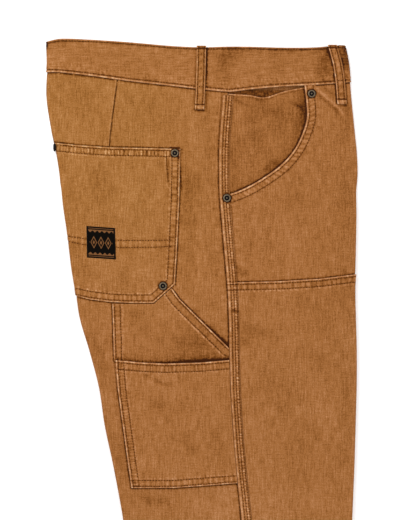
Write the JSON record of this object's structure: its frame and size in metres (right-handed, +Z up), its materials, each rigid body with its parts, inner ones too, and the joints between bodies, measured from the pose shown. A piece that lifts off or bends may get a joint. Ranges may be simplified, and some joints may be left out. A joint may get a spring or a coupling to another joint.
{
  "type": "work jeans, folded in half and laid flat",
  "caption": "Tan cotton work jeans folded in half lengthwise and laid flat with the right outseam up: scoop, coin, back and tool pockets, a double-layer knee and dark metal rivets.",
  "frame": {"origin": "on the table, under the middle of the garment's bounding box", "axes": "+Z up from the table, +Y to the waist, +X to the fold down the centre front"},
  "size_m": [0.3738, 1.03, 0.0128],
  "materials": {
    "duck": "matte washed cotton duck, tan brown",
    "label_weave": "dense black damask weave with tan figures",
    "gunmetal": "aged gunmetal plating"
  },
  "bodies": {
    "root": {"right_front": "duck", "right_back": "duck", "left_half_folded_under": "duck", "waistband_right": "duck", "waistband_left": "duck", "outseam_fell": "duck", "front_knee_panel": "duck", "pocket_facing": "duck", "coin_pocket": "duck", "back_pocket": "duck", "slant_pocket": "duck", "tool_pocket": "duck", "belt_loop_side": "duck", "belt_loop_front": "duck", "label": "label_weave", "rivet_back_pocket_top": "gunmetal", "rivet_back_pocket_corner": "gunmetal", "rivet_scoop_top": "gunmetal", "rivet_scoop_bottom": "gunmetal", "rivet_back_pocket_fold": "gunmetal", "waist_button": "gunmetal"}
  },
  "joints": []
}
